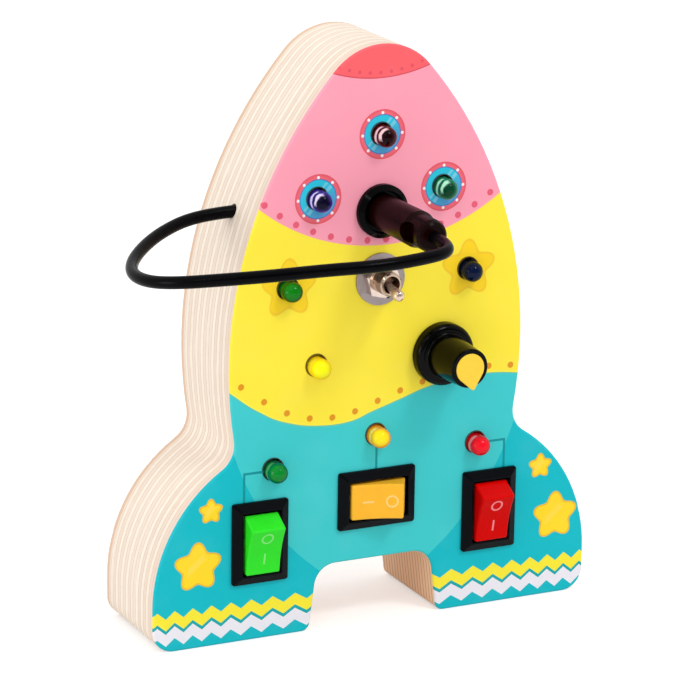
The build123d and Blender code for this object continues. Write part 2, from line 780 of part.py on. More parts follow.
def knob():
    """Skirted knob with a rounded shoulder, a hollow underside and a seat for its cap."""
    front = knob_reach - cap_proud
    skirt_r = knob_skirt_d / 2
    body_r = knob_body_d / 2
    side_top = knob_clearance + knob_skirt
    shoulder_top = (skirt_r - knob_shoulder, side_top + knob_shoulder)
    root = shoulder_top[0] - body_r
    with BuildSketch(Plane.XZ) as half:
        with BuildLine():
            Polyline((0, knob_clearance), (skirt_r, knob_clearance), (skirt_r, side_top))
            RadiusArc((skirt_r, side_top), shoulder_top, -knob_shoulder)
            RadiusArc(shoulder_top, (body_r, shoulder_top[1] + root), root)
            Polyline(
                (body_r, shoulder_top[1] + root), (knob_front_d / 2, front), (0, front),
                (0, knob_clearance),
            )
        make_face()
    body = revolve(half.sketch, Axis.Z)
    body = fillet(body.edges().group_by(Axis.Z)[-1], 0.4)
    rooms = [
        (knob_hollow_d / 2, knob_hollow_top),
        (knob_throat_d / 2, knob_throat_top),
        (shaft_d / 2 + knob_bore_gap, shaft_reach + knob_bore_spare),
    ]
    for radius, top in rooms:
        body -= extrude(Circle(radius), top)
    seat = teardrop(cap_d / 2 + cap_gap, cap_tip_reach + cap_gap, cap_tip_round)
    body -= Pos(0, 0, knob_reach - cap_thickness) * extrude(seat, cap_thickness)
    return at_knob(Rot(0, 0, pointer_turn) * body)


def knob_cap():
    face = teardrop(cap_d / 2, cap_tip_reach, cap_tip_round)
    cap = Pos(0, 0, knob_reach - cap_thickness) * extrude(face, cap_thickness)
    cap = fillet(cap.edges().group_by(Axis.Z)[-1], 0.25)
    return at_knob(Rot(0, 0, pointer_turn) * cap)


# ---------------------------------------------------------------- lamp board
def lamp_board():
    """Circuit board that follows the pocket, cut out for the deeper fittings."""
    outline = rocket(panel_inset, panel_inset)
    above = Pos(0, panel_bottom + board_height / 2, 0) * Rectangle(2 * foot_half, board_height)
    outline = outline & above
    outline -= Pos(0, socket_y, 0) * Circle(socket_nut_flats / math.sqrt(3) + panel_hole_gap)
    outline -= Pos(0, toggle_y, 0) * Rectangle(
        toggle_case_x + 2 * toggle_plate + 2 * panel_hole_gap, toggle_case_y + 2 * panel_hole_gap
    )
    outline -= Pos(knob_x, knob_y, 0) * Circle(pot_d / 2 + panel_hole_gap)
    tongue_room = Rectangle(pot_d * 0.72 + 2 * panel_hole_gap, wafer_tongue + 4 * panel_hole_gap)
    outline -= Pos(knob_x, knob_y - pot_d / 2 - 1.5, 0) * tongue_room
    for x, y in panel_screw_points:
        outline -= Pos(x, y, 0) * Circle(panel_screw_d / 2 + 0.1)
    return Pos(0, 0, panel_back) * extrude(outline, panel_thickness)


def panel_spacers():
    spacer = tube(spacer_d, spacer_bore_d, panel_front, inner_face)
    return [Pos(x, y, 0) * spacer for x, y in panel_screw_points]


def panel_screws():
    shank_end = inner_face + front_wall - 1.4
    screw = revolved([
        (0, panel_back - panel_screw_head), (panel_screw_head_d / 2 - 0.4, panel_back - panel_screw_head),
        (panel_screw_head_d / 2, panel_back - panel_screw_head / 2), (panel_screw_head_d / 2, panel_back),
        (panel_screw_d / 2, panel_back), (panel_screw_d / 2, shank_end - 0.5), (0, shank_end),
    ])
    screw -= Pos(0, 0, panel_back - panel_screw_head) * cross_recess(panel_screw_head_d)
    return [Pos(x, y, 0) * screw for x, y in panel_screw_points]


def resistors():
    body = Rot(0, 90, 0) * Cylinder(resistor_d / 2, resistor_length)
    body = fillet(body.edges(), 0.3)
    height = panel_back - resistor_d / 2
    return [Pos(x * 0.9, y + 4.6, height) * body for x, y in lamp_points.values()]


# ---------------------------------------------------------------- battery tray
def at_tray(shape):
    return Pos(0, tray_y, 0) * shape


def battery_tray():
    """Open tray behind the cover, with a flange that rests on the cover's inner face."""
    outer = Rectangle(tray_length + 2 * tray_wall, tray_width + 2 * tray_wall)
    flange = Rectangle(tray_length + 2 * tray_lip, tray_width + 2 * tray_lip)
    depth = tray_bottom + tray_floor - cover_inner
    shell = Pos(0, 0, cover_inner) * extrude(fillet(outer.vertices(), 1.0), depth)
    shell += Pos(0, 0, cover_inner) * extrude(fillet(flange.vertices(), 1.5), tray_flange)
    shell -= block(tray_length, tray_width, cover_inner, tray_bottom)
    rib = block(cell_length * 0.6, cell_gap * 2, tray_bottom - cell_d * 0.35, tray_bottom)
    boss = Pos(door_screw_x, 0, cover_inner) * extrude(Circle(2.4), 6.0)
    shell = shell + rib + boss
    shell -= block(tray_length, tray_width / 2, cover_inner, tray_bottom - cell_d * 0.4)
    shell -= Pos(door_screw_x, 0, cover_inner) * extrude(Circle(door_screw_d / 2), 5.0)
    return at_tray(shell)


def cells():
    half = cell_length / 2
    cell = revolved([
        (0, -half), (cell_d / 2 - 0.4, -half), (cell_d / 2, -half + 0.4), (cell_d / 2, half - 0.5),
        (cell_d / 2 - 0.5, half), (cell_button_d / 2, half), (cell_button_d / 2, half + cell_button),
        (0, half + cell_button),
    ])
    shift = (spring_room - cell_button) / 2
    right = Pos(shift, cell_pitch / 2, cell_centre) * Rot(0, 90, 0) * cell
    left = Pos(-shift, -cell_pitch / 2, cell_centre) * Rot(0, -90, 0) * cell
    return [at_tray(right), at_tray(left)]


def contact_plates():
    plate = Box(contact_plate, cell_d * 0.8, cell_d * 0.8)
    plate = fillet(plate.edges().filter_by(Axis.X), 1.5)
    reach = tray_length / 2 - contact_plate / 2
    return [
        at_tray(Pos(side * reach, row * cell_pitch / 2, cell_centre) * plate)
        for side in (-1, 1) for row in (-1, 1)
    ]


def battery_springs():
    """Coil springs from the contact plates to the flat ends of the cells."""
    rise = spring_room - spring_wire
    coil = Helix(pitch=rise / spring_turns, height=rise, radius=spring_d / 2)
    start = Plane(origin=coil @ 0, z_dir=coil % 0)
    spring = sweep(start * Circle(spring_wire / 2), path=coil, is_frenet=True)
    plate_face = tray_length / 2 - contact_plate
    spring = Pos(0, 0, spring_wire / 2 - plate_face) * spring
    row = Pos(0, cell_pitch / 2, cell_centre) * Rot(0, 90, 0) * spring
    return [at_tray(row), at_tray(mirror(mirror(row, Plane.XZ), Plane.YZ))]


def battery_door():
    """Door flush with the cover, held by one screw and two tabs."""
    panel = Rectangle(door_length, door_width)
    door = Pos(0, 0, back_face) * extrude(fillet(panel.vertices(), 1.8), door_thickness)
    grip = Pos(-door_length * 0.3, 0, back_face) * extrude(Rectangle(1.2, door_width * 0.5), 0.6)
    for step in range(4):
        door -= Pos(step * 2.4, 0, 0) * grip
    sink = revolved([
        (0, 0), (door_screw_head_d / 2, 0), (door_screw_d / 2 + 0.1, door_screw_d / 2 - 0.1),
        (door_screw_d / 2 + 0.1, door_thickness), (0, door_thickness),
    ])
    door -= Pos(door_screw_x, 0, back_face) * sink
    return at_tray(door)


# ---------------------------------------------------------------- cord
cord_route = [
    (-cord_hole_start + 7.0, socket_y - 1.2, -cord_depth - 3.2),
    (-cord_hole_start, socket_y, -cord_depth),
    (-cord_hole_end, socket_y, -cord_depth),
    *[(x, socket_y - drop, reach) for x, drop, reach in cord_loop],
    (0, socket_y, plug_end + cord_straight),
    (0, socket_y, plug_end),
]


def cord_corners():
    """Turn in degrees and arc radius at each inner point of the route."""
    points = [Vector(*point) for point in cord_route]
    corners = []
    for before, here, after in zip(points, points[1:], points[2:]):
        arriving = here - before
        leaving = after - here
        turn = arriving.get_angle(leaving)
        shorter = min(arriving.length, leaving.length)
        corners.append((turn, 0.45 * shorter / math.tan(math.radians(turn) / 2)))
    return corners


def cord():
    """Cord as a tube of straight runs joined by tangent arcs."""
    path = FilletPolyline(*cord_route, radius=[radius for _, radius in cord_corners()])
    start = Plane(origin=path @ 0, z_dir=path % 0)
    return sweep(start * Circle(cord_d / 2), path=path), path


def cord_tie():
    """Nylon tie round the cord, just inside the pocket wall."""
    inner_end = Vector(*cord_route[0])
    run = Vector(*cord_route[1]) - inner_end
    band = tube(cord_d + 1.4, cord_d, -1.25, 1.25)
    head = Pos(0, -cord_d / 2 - 1.9, 0) * Box(3.6, 3.2, 3.4)
    head -= Cylinder(cord_d / 2, 4)
    return Plane(origin=inner_end + run * 0.28, z_dir=run).location * (band + head)


# ---------------------------------------------------------------- write every node
os.makedirs("parts", exist_ok=True)

keep("board_body", board_body())
keep("back_cover", back_cover())
keep("cover_screws", *[
    Pos(x, y, back_face) * countersunk(cover_screw_head_d, cover_screw_d, cover_screw_length)
    for x, y in cover_screw_points
])

for name, (x, y) in lamp_points.items():
    keep(name, Pos(x, y - lamp_sag, 0) * lamp())
keep("lamp_leads", *lamp_leads())

for name, place in rocker_places.items():
    keep(f"{name}_rocker_housing", place * rocker_housing())
    keep(f"{name}_rocker_button", place * placed_button())
keep("rocker_blades", *rocker_blades())

keep("toggle_case", Pos(0, toggle_y, 0) * toggle_case())
keep("toggle_frame", Pos(0, toggle_y, 0) * toggle_frame())
keep("toggle_washer", Pos(0, toggle_y, 0) * tube(toggle_washer_d, toggle_bush_d, 0, toggle_washer))
keep("toggle_nut", Pos(0, toggle_y, 0) * hexagon(
    toggle_nut_flats, toggle_bush_d, toggle_washer, toggle_washer + toggle_nut, toggle_nut_turn
))
keep("toggle_lever", toggle_lever())
keep("toggle_tags", *toggle_tags())

keep("socket_body", socket_body())
keep("socket_pin", socket_pin())
keep("socket_nut", Pos(0, socket_y, 0) * hexagon(
    socket_nut_flats, socket_thread_d, inner_face - socket_nut, inner_face, 0
))
keep("socket_tags", *socket_tags())
keep("plug_shell", plug_shell())
keep("plug_sleeve", plug_sleeve())

keep("pot_bush", pot_bush())
keep("pot_wafer", pot_wafer())
keep("pot_case", pot_case())
keep("pot_tags", *pot_tags())
keep("pot_washer", at_knob(tube(pot_washer_d, pot_bush_d, 0, pot_washer)))
keep("pot_nut", at_knob(hexagon(pot_nut_flats, pot_bush_d, pot_washer, pot_washer + pot_nut, 10)))
keep("pot_shaft", pot_shaft())
keep("knob", knob())
keep("knob_cap", knob_cap())

keep("lamp_board", lamp_board())
keep("panel_spacers", *panel_spacers())
keep("panel_screws", *panel_screws())
keep("resistors", *resistors())

keep("battery_tray", battery_tray())
keep("battery_cells", *cells())
keep("contact_plates", *contact_plates())
keep("battery_springs", *battery_springs())
keep("battery_door", battery_door())
keep("door_screw", Pos(door_screw_x, tray_y, back_face) * countersunk(
    door_screw_head_d, door_screw_d, door_screw_length
))

cord_solid, cord_path = cord()
keep("cord", cord_solid)
keep("cord_tie", cord_tie())
section = math.pi * cord_d ** 2 / 4
print("cord radii", [round(radius, 1) for _, radius in cord_corners()])
print("cord turns", [round(turn) for turn, _ in cord_corners()])
print("cord length", round(cord_path.length, 1))
print("volume against section x length", round(cord_solid.volume / section / cord_path.length, 4))
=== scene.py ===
import math

import bpy
from mathutils import Matrix, Vector


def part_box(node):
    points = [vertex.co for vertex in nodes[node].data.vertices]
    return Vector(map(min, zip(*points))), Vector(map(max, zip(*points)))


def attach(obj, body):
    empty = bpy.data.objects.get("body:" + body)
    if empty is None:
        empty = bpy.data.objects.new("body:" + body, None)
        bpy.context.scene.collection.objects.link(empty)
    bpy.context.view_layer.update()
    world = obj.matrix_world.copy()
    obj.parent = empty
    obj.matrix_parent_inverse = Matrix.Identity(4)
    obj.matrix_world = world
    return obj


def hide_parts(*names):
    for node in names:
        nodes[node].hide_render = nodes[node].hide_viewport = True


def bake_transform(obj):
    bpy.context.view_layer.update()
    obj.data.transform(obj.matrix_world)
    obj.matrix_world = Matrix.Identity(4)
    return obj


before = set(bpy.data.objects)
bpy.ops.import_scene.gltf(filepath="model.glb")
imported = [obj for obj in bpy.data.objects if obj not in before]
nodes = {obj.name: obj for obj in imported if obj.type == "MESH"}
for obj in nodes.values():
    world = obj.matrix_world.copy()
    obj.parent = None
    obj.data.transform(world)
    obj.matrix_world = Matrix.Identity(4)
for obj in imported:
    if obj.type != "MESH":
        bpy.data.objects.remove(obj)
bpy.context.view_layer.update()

MM = 0.001

# Places and sizes in metres.  The board stands on its feet, its front face looks along -Y.
FRONT = -0.00675                # front face
PRINT_END = FRONT + 0.00057     # the print follows the rounded edge back to here
PRINT_THICKNESS = 0.00004
CORD_RADIUS = 0.0015
WELD = 0.000001                 # points closer than this become one
TOGGLE = (0.0, 0.0868)          # x and height of the toggle's axis
ROCKERS = {"left": (-0.0310, 0.02485), "middle": (0.0, 0.03195), "right": (0.0310, 0.02485)}

# From here on, and in every material, in millimetres.
PLY = 1.55                      # one layer of the plywood
ARCH_HALF = 20.0                # half the width of the arch between the feet
ARCH_TOP = 17.2
PIVOT_DEPTH = 0.8               # a rocker button's pivot, behind the front face
BUTTON_FACE = 4.64              # from the pivot to the middle of the finger face
BUTTON_DISH = 30.0              # radius of the hollow finger face
ROCKER_TILT = 16.0              # degrees
MARKS = (("ring", 3.6), ("stroke", -2.25))      # with their distance from the button's middle
RING_RADIUS = 1.36
RING_BREADTH = 0.24             # radius of its round section, before it is flattened
RING_FLATNESS = 0.3
STROKE = (2.95, 0.48, 0.14)     # length, breadth and height
STROKE_EDGE = 0.06
THREAD_CORE = 2.80              # radius of the screw thread on the toggle's bush
THREAD_SIZE = 0.22              # radius of its three-sided section
THREAD_PITCH = 0.5
THREAD_TURNS = 5
THREAD_START = 3.15             # in front of the front face

# Lamps: colour of the middle, the painted rim and the painted glint, strength of the outer and
# inner painted glint arc, gloss.
LAMPS = {
    "top_window_lamp": ((26, 2, 6), (96, 8, 20), (255, 214, 220), 0.95, 0.9, 0.1),
    "left_window_lamp": ((10, 6, 36), (60, 44, 150), (226, 216, 255), 0.95, 0.95, 0.1),
    "right_window_lamp": ((4, 66, 40), (26, 130, 88), (176, 250, 212), 0.95, 0.95, 0.1),
    "left_star_lamp": ((8, 124, 14), (0, 62, 8), (70, 150, 30), 0.3, 0.0, 0.16),
    "right_star_lamp": ((4, 20, 54), (2, 4, 14), (20, 40, 80), 0.3, 0.0, 0.12),
    "side_lamp": ((255, 252, 16), (244, 206, 20), (255, 246, 90), 0.3, 0.0, 0.15),
    "left_rocker_lamp": ((2, 134, 44), (0, 92, 62), (120, 220, 130), 0.4, 0.0, 0.16),
    "middle_rocker_lamp": ((255, 228, 28), (244, 146, 36), (255, 250, 150), 0.6, 0.0, 0.15),
    "right_rocker_lamp": ((244, 16, 38), (200, 4, 20), (255, 170, 170), 0.6, 0.0, 0.15),
}

# Moulded plastics: colour, roughness from and to, depth of the skin, sheen, and where they are.
PLASTICS = (
    ("black_plastic", (4, 6, 11), 0.28, 0.4, 0.012, 0.06, [
        "left_rocker_housing", "middle_rocker_housing", "right_rocker_housing",
    ]),
    ("gloss_black_plastic", (2, 2, 3), 0.12, 0.2, 0.006, 0.085, ["knob", "pot_shaft"]),
    ("door_black_plastic", (24, 25, 28), 0.42, 0.58, 0.02, 0.35, ["battery_tray", "battery_door"]),
    ("socket_black_plastic", (2, 2, 3), 0.1, 0.18, 0.006, 0.045, ["socket_body"]),
    ("plug_plastic", (20, 3, 2), 0.2, 0.32, 0.006, 0.045, ["plug_shell"]),
    ("button_green", (46, 228, 38), 0.22, 0.34, 0.008, 0.16, ["left_rocker_button"]),
    ("button_amber", (252, 184, 46), 0.22, 0.34, 0.008, 0.16, ["middle_rocker_button"]),
    ("button_red", (214, 3, 2), 0.22, 0.34, 0.008, 0.05, ["right_rocker_button"]),
    ("cap_amber", (253, 210, 58), 0.24, 0.36, 0.008, 0.3, ["knob_cap"]),
    ("case_red", (172, 34, 30), 0.35, 0.5, 0.012, 0.5, ["toggle_case"]),
    ("tie_nylon", (232, 230, 222), 0.4, 0.55, 0.012, 0.5, ["cord_tie"]),
    ("spacer_nylon", (226, 224, 214), 0.4, 0.55, 0.012, 0.5, ["panel_spacers"]),
    ("wafer_board", (128, 84, 44), 0.45, 0.6, 0.02, 0.5, ["pot_wafer"]),
)
MARK_PAINTS = {"left": (124, 234, 112), "middle": (255, 208, 118), "right": (250, 132, 142)}

# Plated metals: colour, roughness from and to, how close the turning marks lie, how metallic.
TURNED = (1.2, 14.0, 1.2)
METALS = (
    ("zinc_steel", (186, 184, 180), 0.28, 0.42, TURNED, 1.0, [
        "cover_screws", "door_screw", "panel_screws", "pot_case", "battery_springs",
    ]),
    ("dull_zinc", (168, 156, 156), 0.45, 0.6, TURNED, 1.0, ["toggle_washer"]),
    ("bright_nickel", (214, 196, 184), 0.08, 0.18, TURNED, 1.0, [
        "toggle_nut", "pot_washer", "pot_nut", "socket_nut",
    ]),
    ("tinned_metal", (206, 204, 198), 0.25, 0.4, TURNED, 1.0, [
        "lamp_leads", "rocker_blades", "toggle_tags", "socket_tags", "pot_tags", "contact_plates",
    ]),
    ("brass", (206, 170, 92), 0.22, 0.36, TURNED, 1.0, ["plug_sleeve", "socket_pin", "pot_bush"]),
    ("lever_nickel", (222, 196, 176), 0.14, 0.24, TURNED, 0.75, ["toggle_lever"]),
    # Painted shade: the bush's nickel is laid darker than the nut's, standing in for the shade and
    # dark reflections on its side.
    ("shaded_bush_nickel", (186, 164, 146), 0.12, 0.24, (0.8, 5.0, 0.8), 1.0, ["toggle_frame"]),
)


# ---------------------------------------------------------------- camera
def aim_camera():
    """Long lens from the left in front of the board, looking down on it a little."""
    camera = bpy.data.objects.new("camera", bpy.data.cameras.new("camera"))
    bpy.context.scene.collection.objects.link(camera)
    place = Vector((-0.381499, -0.761569, 0.317315))
    ahead = Vector((0.42591, 0.85977, -0.28177)).normalized()
    right = ahead.cross(Vector((0, 0, 1))).normalized()
    up = right.cross(ahead)
    roll = math.radians(0.9655)
    side = right * math.cos(roll) + up * math.sin(roll)
    top = up * math.cos(roll) - right * math.sin(roll)
    camera.matrix_world = Matrix((
        (side.x, top.x, -ahead.x, place.x),
        (side.y, top.y, -ahead.y, place.y),
        (side.z, top.z, -ahead.z, place.z),
        (0, 0, 0, 1),
    ))
    camera.data.sensor_width = 36.0
    camera.data.lens = 189.06
    camera.data.clip_start = 0.05
    bpy.context.scene.camera = camera


# ---------------------------------------------------------------- materials: how they are mixed
def shade(red, green, blue):
    """A colour as a paint chart gives it, from 0 to 255, for a shader."""
    mixed = []
    for part in (red, green, blue):
        part = part / 255
        mixed.append(part / 12.92 if part <= 0.04045 else ((part + 0.055) / 1.055) ** 2.4)
    return (*mixed, 1.0)


class Level:
    """A number that varies over a surface.  Sums and comparisons on it become Math nodes."""

    def __init__(self, finish, socket):
        self.finish = finish
        self.socket = socket

    def __add__(self, other):
        return self.finish.maths("ADD", self, other)

    def __sub__(self, other):
        return self.finish.maths("SUBTRACT", self, other)

    def __mul__(self, other):
        return self.finish.maths("MULTIPLY", self, other)

    def __truediv__(self, other):
        return self.finish.maths("DIVIDE", self, other)

    def __lt__(self, other):
        return self.finish.maths("LESS_THAN", self, other)

    def __gt__(self, other):
        return self.finish.maths("GREATER_THAN", self, other)

    def __and__(self, other):
        return self.finish.maths("MINIMUM", self, other)

    def __or__(self, other):
        return self.finish.maths("MAXIMUM", self, other)

    def __abs__(self):
        return self.finish.maths("ABSOLUTE", self)


class Finish:
    """A material in the making: its nodes, its Principled shader and the colour laid so far."""

    def __init__(self, name, colour, roughness=0.5):
        self.material = bpy.data.materials.new(name)
        self.material.use_nodes = True
        self.nodes = self.material.node_tree.nodes
        self.links = self.material.node_tree.links
        self.shader = self.nodes["Principled BSDF"]
        self.shader.inputs["Roughness"].default_value = roughness
        self.colour = colour

    def feed(self, socket, value):
        """Links a level or a socket into this one, or sets it to a plain value."""
        if isinstance(value, Level):
            self.links.new(value.socket, socket)
        elif isinstance(value, bpy.types.NodeSocket):
            self.links.new(value, socket)
        else:
            socket.default_value = value

    def maths(self, operation, *values):
        node = self.nodes.new("ShaderNodeMath")
        node.operation = operation
        for socket, value in zip(node.inputs, values):
            self.feed(socket, value)
        return Level(self, node.outputs[0])

    def hypot(self, across, up):
        return self.maths("SQRT", across * across + up * up)

    def place(self, stretch=(1, 1, 1), turn=(0, 0, 0)):
        """Object coordinates in millimetres, stretched, then turned."""
        coordinates = self.nodes.new("ShaderNodeTexCoord")
        mapping = self.nodes.new("ShaderNodeMapping")
        self.links.new(coordinates.outputs["Object"], mapping.inputs["Vector"])
        mapping.inputs["Scale"].default_value = [1000 * part for part in stretch]
        mapping.inputs["Rotation"].default_value = [math.radians(part) for part in turn]
        return mapping.outputs["Vector"]

    def parts(self, vector):
        """A vector's X, Y and Z as three levels."""
        node = self.nodes.new("ShaderNodeSeparateXYZ")
        self.links.new(vector, node.inputs[0])
        return [Level(self, socket) for socket in node.outputs]

    def noise(self, vector, detail=3.0, warp=0.0):
        """Soft patches from 0 to 1, about as large as one unit of the vector."""
        node = self.nodes.new("ShaderNodeTexNoise")
        self.links.new(vector, node.inputs["Vector"])
        node.inputs["Scale"].default_value = 1.0
        node.inputs["Detail"].default_value = detail
        node.inputs["Distortion"].default_value = warp
        return Level(self, node.outputs["Fac"])

    def curve(self, value, points):
        """A curve through given (0 to 1, 0 to 1) points."""
        node = self.nodes.new("ShaderNodeFloatCurve")
        line = node.mapping.curves[0]
        for at in points[1:-1]:
            line.points.new(*at)
        for point, at in zip(line.points, points):
            point.location = at
        node.mapping.update()
        self.feed(node.inputs["Value"], value)
        return Level(self, node.outputs[0])

    def between(self, value, low, high):
        """0 below low, 1 above high, smooth in between."""
        node = self.nodes.new("ShaderNodeMapRange")
        node.interpolation_type = "SMOOTHSTEP"
        self.feed(node.inputs["Value"], value)
        node.inputs["From Min"].default_value = low
        node.inputs["From Max"].default_value = high
        return Level(self, node.outputs["Result"])

    def lay(self, colour, mask, strength=1.0):
        """Lays a colour over what is there, where mask is 1."""
        node = self.nodes.new("ShaderNodeMix")
        node.data_type = "RGBA"
        self.feed(node.inputs[0], mask * strength if strength != 1.0 else mask)
        self.feed(node.inputs[6], self.colour)
        self.feed(node.inputs[7], colour)
        self.colour = node.outputs[2]

    def rough(self, level, low, high):
        """Roughness from low to high as level goes from 0 to 1."""
        self.feed(self.shader.inputs["Roughness"], level * (high - low) + low)

    def relief(self, height, depth):
        """Bump of that depth in millimetres."""
        node = self.nodes.new("ShaderNodeBump")
        node.inputs["Strength"].default_value = 1.0
        node.inputs["Distance"].default_value = depth * MM
        self.feed(node.inputs["Height"], height)
        self.links.new(node.outputs["Normal"], self.shader.inputs["Normal"])

    def done(self):
        self.feed(self.shader.inputs["Base Color"], self.colour)
        return self.material


# ---------------------------------------------------------------- wood
def birch_plywood():
    """Pale plywood: thin plies parallel to the faces, with fine darker lines between them."""
    finish = Finish("birch_plywood", shade(242, 228, 211))
    across, depth, up = finish.parts(finish.place())
    waver = finish.noise(finish.place((0.05, 0.0, 0.05)), 2.0)
    level = (depth + waver * 0.8) / PLY
    ply = finish.maths("FLOOR", level)
    tone = finish.nodes.new("ShaderNodeTexWhiteNoise")
    tone.noise_dimensions = "1D"
    finish.feed(tone.inputs["W"], ply)
    even = finish.maths("FLOORED_MODULO", ply, 2.0)
    inside = finish.maths("PINGPONG", level, 0.5)
    patch = finish.noise(finish.place((0.12, 1.4, 0.12)), 3.0)
    fine = finish.noise(finish.place((0.5, 6.0, 0.5)), 3.0, 0.3)
    pores = finish.noise(finish.place((3.4, 4.2, 3.4)), 4.0)
    cut = finish.noise(finish.place((2.2, 0.5, 2.2), (0, 32, 0)), 3.0)
    finish.lay(shade(224, 200, 180), even & finish.between(inside, 0.0, 0.12), 0.62)
    finish.lay(shade(250, 240, 225), Level(finish, tone.outputs["Value"]), 0.45)
    seam = finish.between(inside, 0.11, 0.03) & finish.between(patch, 0.25, 0.5)
    finish.lay(shade(190, 148, 124), seam, 0.62)
    finish.lay(shade(218, 190, 168), finish.between(fine, 0.54, 0.68), 0.35)
    finish.lay(shade(220, 192, 170), finish.between(pores, 0.54, 0.74) & even, 0.45)
    finish.lay(shade(232, 212, 194), finish.between(cut, 0.55, 0.72), 0.35)
    finish.lay(shade(226, 196, 178), finish.between(depth, -4.4, -5.2), 0.55)
    finish.lay(shade(216, 176, 144), finish.between(depth, 20.2, 20.8), 0.75)
    # Painted shade: the inner walls of the arch are laid a darker tan, and the ply seams there are
    # drawn darker still.
    arch_shade = (abs(across) < ARCH_HALF) & (up < ARCH_TOP)
    finish.lay(shade(252, 206, 164), arch_shade, 0.85)
    finish.lay(shade(176, 120, 78), arch_shade & finish.between(inside, 0.22, 0.05), 0.6)
    finish.rough(pores, 0.55, 0.75)
    finish.relief(even * 0.3 + pores * 0.5 + inside * 0.6, 0.05)
    return finish.done()


def cover_sheet():
    """Thin basswood sheet of the back, its grain running up the board."""
    finish = Finish("cover_sheet", shade(236, 212, 178))
    rings = finish.noise(finish.place((0.22, 0.22, 0.018)), 3.0, 0.6)
    fibre = finish.noise(finish.place((3.2, 3.2, 0.16)), 4.0)
    bands = finish.maths("PINGPONG", rings * 14.0, 0.5)
    finish.lay(shade(219, 190, 150), finish.between(bands, 0.15, 0.5), 0.3)
    finish.lay(shade(207, 175, 136), finish.between(fibre, 0.55, 0.78), 0.5)
    finish.rough(fibre, 0.5, 0.7)
    finish.relief(fibre, 0.03)
    return finish.done()


# ---------------------------------------------------------------- printed front
def bowl(finish, x, z, centre_x, centre_z, radius):
    """1 inside a large circle, of which only the lower arc crosses the board."""
    return finish.hypot(x - centre_x, z - centre_z) < radius


def dotted_arc(finish, x, z, centre_x, centre_z, radius, step, start, dot):
    """How far a point lies outside a row of dots along the lower side of a circle."""
    along = finish.maths("ARCTAN2", x - centre_x, (z - centre_z) * -1) * radius
    nearest = finish.maths("SNAP", along - start + step / 2, step) + start
    outward = finish.hypot(x - centre_x, z - centre_z) - radius
    return finish.hypot(along - nearest, outward) - dot


def star(finish, x, z, centre_x, centre_z, tips, hollows):
    """How far a point lies outside a five-pointed star with round tips and hollows."""
    right = x - centre_x
    high = z - centre_z
    turn = finish.maths("COSINE", finish.maths("ARCTAN2", right, high) * 5.0)
    return finish.hypot(right, high) - (turn * ((tips - hollows) / 2) + (tips + hollows) / 2)


def paint_stars(finish, x, z):
    """Soft stars behind the two star lamps and four stars on the feet."""
    glow = star(finish, abs(x), z, 23.9, 86.9, 7.4, 4.9)
    finish.lay(shade(246, 196, 44), finish.between(glow, 0.2, -0.2), 0.9)
    finish.lay(shade(254, 214, 38), finish.between(glow, -0.2, -0.9))
    for centre_x, centre_z, tips, hollows in (
        (-47.0, 20.5, 6.3, 4.4), (50.1, 20.5, 6.3, 4.4),
        (-43.7, 34.1, 3.2, 2.25), (45.5, 34.0, 3.3, 2.3),
    ):
        level = star(finish, x, z, centre_x, centre_z, tips, hollows)
        finish.lay(shade(238, 186, 46), finish.between(level, 0.12, -0.12))
        finish.lay(shade(254, 217, 42), finish.between(level, -0.3, -0.7))
        shine = abs((x - centre_x) * 0.64 - (z - centre_z) * 0.77 + tips * 0.12)
        band = finish.between(shine, 1.0, 0.5) & (level < -tips * 0.28)
        finish.lay(shade(255, 222, 92), band, 0.5)


def paint_windows(finish, x, z):
    """Three riveted round windows behind the upper lamps."""
    top, apart, drop = 122.1, 16.6, 14.2        # the side windows, out and down from the top one
    beside = abs(x) > apart / 2
    u = x - finish.maths("SIGN", x) * beside * apart
    v = z + beside * drop - top
    reach = finish.hypot(u, v)
    finish.lay(shade(232, 92, 106), reach < 6.05)
    finish.lay(shade(240, 104, 118), reach < 5.6)
    finish.lay(shade(70, 122, 190), reach < 4.85)
    disc = reach < 4.6
    finish.lay(shade(46, 198, 224), disc)
    finish.lay(shade(92, 148, 214), finish.between(u * 0.6 - v * 0.8, -1.5, 4.2) & disc, 0.8)
    slant = u * 0.74 - v * 0.67
    streak = (
        finish.between(abs(slant - 0.5), 0.55, 0.3) | finish.between(abs(slant + 0.9), 0.4, 0.2)
    )
    far = abs(u * 0.67 + v * 0.74) > 2.4
    finish.lay(shade(146, 216, 240), streak & far & (reach < 4.4), 0.6)
    rivets, rivet_ring = 8, 5.2
    around = finish.maths("ARCTAN2", u, v) * (rivets / 2 / math.pi)
    nearest = finish.maths("SNAP", around + 0.5, 1.0)
    aside = (around - nearest) * (math.pi / (rivets / 2) * rivet_ring)
    finish.lay(shade(255, 238, 242), finish.hypot(aside, reach - rivet_ring) < 0.38)


def paint_zigzags(finish, x, z):
    """Yellow and white zigzags across both feet, a little closer set towards the outside."""
    out = abs(x) - 21.3
    tooth = out * 0.16166 + out * out * 0.000871
    rise = (finish.maths("PINGPONG", tooth, 0.5) * -2 + 1.0) * 1.9
    level = z - rise
    foot = abs(x) > 13.0
    finish.lay(shade(16, 160, 162), (level > 1.6) & (level < 8.45) & foot, 0.75)
    finish.lay(shade(250, 233, 58), (level > 5.5) & (level < 8.45) & foot)
    finish.lay(shade(238, 234, 242), (level > 1.6) & (level < 4.6) & foot)


def paint_traces(finish, x, z):
    """Thin lines from the three rocker lamps to their switches."""
    line = (abs(x) < 0.3) & (abs(z - 43.0) < 5.0)
    out = abs(x)
    line = line | ((abs(z - 42.25) < 0.3) & (abs(out - 32.4) < 2.9))
    line = line | ((abs(out - 35.1) < 0.3) & (abs(z - 38.8) < 3.7))
    finish.lay(shade(14, 138, 146), line, 0.9)


def wavy_line(finish, across, points):
    """Height of a line drawn across the board in a box of 90 by 20 mm."""
    return finish.curve((across + 45.0) / 90.0, points) * 20.0 + 50.0


